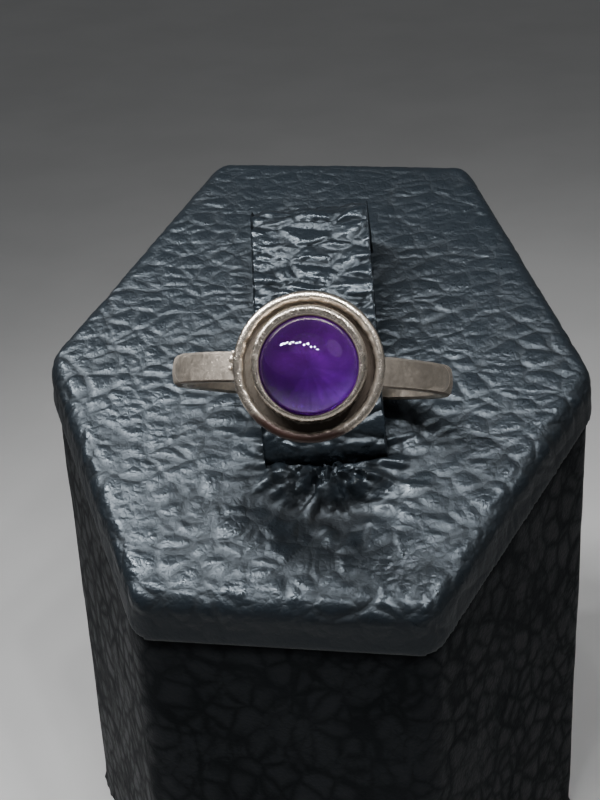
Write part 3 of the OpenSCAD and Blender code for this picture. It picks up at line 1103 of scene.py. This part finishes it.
def model_solder(ring):
    """Lumps of solder where the band meets the cup, and the fillets under it."""
    foot = foot_height(ring)
    lumps = [
        # Across, along the finger and up from the foot, then radius and flatness, in millimetres
        (-4.32, 0.30, 0.10, 0.34, 0.8),
        (-4.25, -0.35, 0.02, 0.30, 0.9),
        (-4.70, 0.42, -0.92, 0.24, 0.8),
        (-4.78, -0.10, -0.98, 0.17, 0.8),
        (-4.62, 0.80, -0.90, 0.20, 0.8),
        (-3.4, 0.0, -0.30, 0.55, 1.0),
        (4.30, -0.25, 0.02, 0.26, 0.7),
        (4.26, 0.40, 0.05, 0.24, 0.8),
        (3.4, 0.0, -0.30, 0.55, 1.0),
    ]
    pieces = []
    for x, y, z, size, flat in lumps:
        deselect()
        bpy.ops.mesh.primitive_ico_sphere_add(subdivisions=4, radius=size, location=(x, y, foot + z))
        lump = start("ring_solder")
        lump.scale = (0.8, 1.0, flat)
        bake_place()
        pieces.append(lump)
    activate(*pieces)
    bpy.ops.object.join()
    piece = bpy.context.object
    remesh(piece, SOLDER_VOXEL)
    roughen(piece, "lumpy", 0.45, 1, 0.06)
    piece.modifiers.new("soft", "SMOOTH").iterations = 3
    apply_all(piece)
    return piece


def model_stone(stone):
    """The round cabochon: flat back, bevel, girdle and high dome."""
    radius, girdle, dome = mm(stone.width) / 2, mm(stone.girdle_h), mm(stone.dome_h)
    dome_r = dome_radius(stone)
    rise = math.degrees(math.asin((dome_r - dome) / dome_r))
    outline = ([(AXIS_R, 0), (radius - STONE_BEVEL, 0), (radius, STONE_BEVEL), (radius, girdle * 0.5)]
               + arc((0, girdle + dome - dome_r), dome_r, rise, 89.9, 40))
    piece = lathe("amethyst_cabochon", outline, STONE_STEPS, False)
    edit(piece)
    for top in (True, False):
        pick(piece, lambda v: from_axis(v) < 0.02 and (v.co.z > girdle) == top)
        bpy.ops.mesh.merge(type="CENTER")
    leave()
    return piece


# The pieces, each with its operator

class MakeStand(bpy.types.Operator):
    """Models the stand's leather-covered block"""
    bl_idname = "ring.make_stand"
    bl_label = "Make stand"

    def execute(self, context):
        scene = context.scene
        stand, strap = scene.stand_sizes, scene.strap_sizes
        upper = model_face_leather(stand, strap)
        set_down(upper, Matrix.Identity(4))
        face = face_frame(stand)
        # The face leather's fold down the sides gets the darker side colour, as painted shade
        edge = (face.to_translation(), aimed(face, 0, 0, 1), stand.side_leather)
        leather = leather_material("pebbled_leatherette", stand.leather, face_pattern(stand),
                                   depth=1.0, gloss=0.25, shine=0.44, edge=edge)
        finish_piece(upper, leather, "stand_block")
        sides = model_side_leather(stand)
        set_down(sides, Matrix.Identity(4))
        leather = leather_material("smooth_leatherette", stand.side_leather, SIDE_PATTERN,
                                   depth=0.1, gloss=0.50, shine=0.15)
        finish_piece(sides, leather, "stand_block")
        return {"FINISHED"}


class MakeStrap(bpy.types.Operator):
    """Models the strap that passes through the ring"""
    bl_idname = "ring.make_strap"
    bl_label = "Make strap"

    def execute(self, context):
        scene = context.scene
        stand = scene.stand_sizes
        piece, place = model_strap(stand, scene.strap_sizes, scene.ring_sizes)
        set_down(piece, place)
        leather = leather_material("glossy_leatherette", stand.leather, STRAP_PATTERN,
                                   depth=0.6, gloss=0.18, shine=0.4, place=place)
        finish_piece(piece, leather, "stand_strap")
        return {"FINISHED"}


class MakeRing(bpy.types.Operator):
    """Models the band, cup, bezel and solder of the silver ring"""
    bl_idname = "ring.make_ring"
    bl_label = "Make ring"

    def execute(self, context):
        scene = context.scene
        stand, ring, stone = scene.stand_sizes, scene.ring_sizes, scene.stone_sizes
        place = ring_frame(stand, ring)
        on_band = place @ Matrix.Translation((0, 0, foot_height(ring)))
        plain = silver_material("worn_silver", ring, place, band_shade_and_highlight(ring), gloss=0.34)
        setting = silver_material("oxidised_silver", ring, place, setting_tarnish_and_shade(ring, stone), gloss=0.14)
        for piece, where, material in (
                (model_band(ring), place, plain), (model_solder(ring), place, plain),
                (model_cup(ring, stone), on_band, setting), (model_bezel(ring, stone), on_band, setting)):
            set_down(piece, where)
            finish_piece(piece, material, "band_and_setting")
        return {"FINISHED"}


class MakeStone(bpy.types.Operator):
    """Models the violet cabochon"""
    bl_idname = "ring.make_stone"
    bl_label = "Make stone"

    def execute(self, context):
        scene = context.scene
        stand, ring, stone = scene.stand_sizes, scene.ring_sizes, scene.stone_sizes
        seat = foot_height(ring) + seat_height(ring)
        place = ring_frame(stand, ring) @ Matrix.Translation((0, 0, seat))
        piece = model_stone(stone)
        set_down(piece, place)
        finish_piece(piece, amethyst_material("violet_quartz", stone, place), "cabochon")
        return {"FINISHED"}


def floor_material(stage):
    """A plain pale floor, hardly uneven in colour."""
    n = Finish("pale_floor")
    where = n.places()
    speck = n.noise(where, 0.05, 4.0)
    colour = n.blend(n.fit(speck, 0.3, 0.7), rgba(stage.floor_colour, 0.97), rgba(stage.floor_colour, 1.03))
    return n.set(Base_Color=colour, Roughness=0.85)


def add_light(name, aim, direction, distance, size, power, colour, spread=180):
    """A soft elliptical light in a direction from its aim."""
    out = Vector(direction).normalized()
    data = bpy.data.lights.new(name, "AREA")
    data.shape = "ELLIPSE"
    data.size, data.size_y = size
    data.energy = power
    data.color = colour
    data.spread = math.radians(spread)
    light = bpy.data.objects.new(name, data)
    light.location = aim + out * distance
    light.rotation_euler = out.to_track_quat("Z", "Y").to_euler()
    bpy.context.collection.objects.link(light)


class MakeStage(bpy.types.Operator):
    """Sets the floor, the lights and the camera"""
    bl_idname = "ring.make_stage"
    bl_label = "Make stage"

    def execute(self, context):
        scene = context.scene
        stage = scene.stage_sizes
        deselect()
        bpy.ops.mesh.primitive_plane_add(size=FLOOR_SIZE, location=(0, 0, 0))
        floor = start("floor")
        floor.data.materials.append(floor_material(stage))
        world = bpy.data.worlds.new("studio")
        world.use_nodes = True
        background = world.node_tree.nodes["Background"].inputs
        background["Color"].default_value = rgba(COOL)
        background["Strength"].default_value = WORLD_STRENGTH
        scene.world = world
        aim = ring_frame(scene.stand_sizes, scene.ring_sizes).to_translation() * MM
        (left, near), (right, far) = LAMP_ROW
        for i in range(LAMPS):
            t, side = i / (LAMPS - 1), LAMP_ZIGZAG if i % 2 else -LAMP_ZIGZAG
            direction = (left + (right - left) * t, near + (far - near) * t + side, 1)
            add_light(f"lamp_{i}", aim, direction, LAMP_DISTANCE, (LAMP_SIZE, LAMP_SIZE),
                      LAMP_POWER, CLEAR, LAMP_SPREAD)
        for i, width in enumerate(OVERHEAD_WIDTHS):
            add_light(f"overhead_{i}", aim, OVERHEAD_DIRECTION, OVERHEAD_DISTANCE,
                      (width, width * OVERHEAD_DEPTH), OVERHEAD_POWER * width, COOL)
        add_light("right", aim, RIGHT_DIRECTION, RIGHT_DISTANCE, (RIGHT_SIZE, RIGHT_SIZE),
                  RIGHT_POWER, WARM)
        data = bpy.data.cameras.new("camera")
        data.sensor_width = SENSOR
        data.lens = stage.camera_lens
        data.clip_start, data.clip_end = 0.005, 10
        camera = bpy.data.objects.new("camera", data)
        camera.location = stage.camera_place
        camera.rotation_euler = Euler(stage.camera_turn)
        context.collection.objects.link(camera)
        scene.camera = camera
        return {"FINISHED"}


class RingPanel(bpy.types.Panel):
    """Lists the pieces that can be made, with their sizes"""
    bl_idname = "VIEW3D_PT_cabochon_ring"
    bl_label = "Cabochon ring"
    bl_space_type = "VIEW_3D"
    bl_region_type = "UI"
    bl_category = "Ring"

    def draw(self, context):
        layout = self.layout
        for operator in MAKERS:
            layout.operator(operator.bl_idname)
        for name, group in GROUPS.items():
            box = layout.box()
            for key in group.__annotations__:
                box.prop(getattr(context.scene, name), key)


MAKERS = (MakeStage, MakeStand, MakeStrap, MakeRing, MakeStone)


def register():
    for cls in (*GROUPS.values(), *MAKERS, RingPanel):
        bpy.utils.register_class(cls)
    for name, group in GROUPS.items():
        setattr(bpy.types.Scene, name, bpy.props.PointerProperty(type=group))


def unregister():
    for name in GROUPS:
        delattr(bpy.types.Scene, name)
    for cls in reversed((*GROUPS.values(), *MAKERS, RingPanel)):
        bpy.utils.unregister_class(cls)


def main():
    register()
    bpy.ops.ring.make_stage()
    bpy.ops.ring.make_stand()
    bpy.ops.ring.make_strap()
    bpy.ops.ring.make_ring()
    bpy.ops.ring.make_stone()
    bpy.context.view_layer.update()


if __name__ == "__main__":
    main()
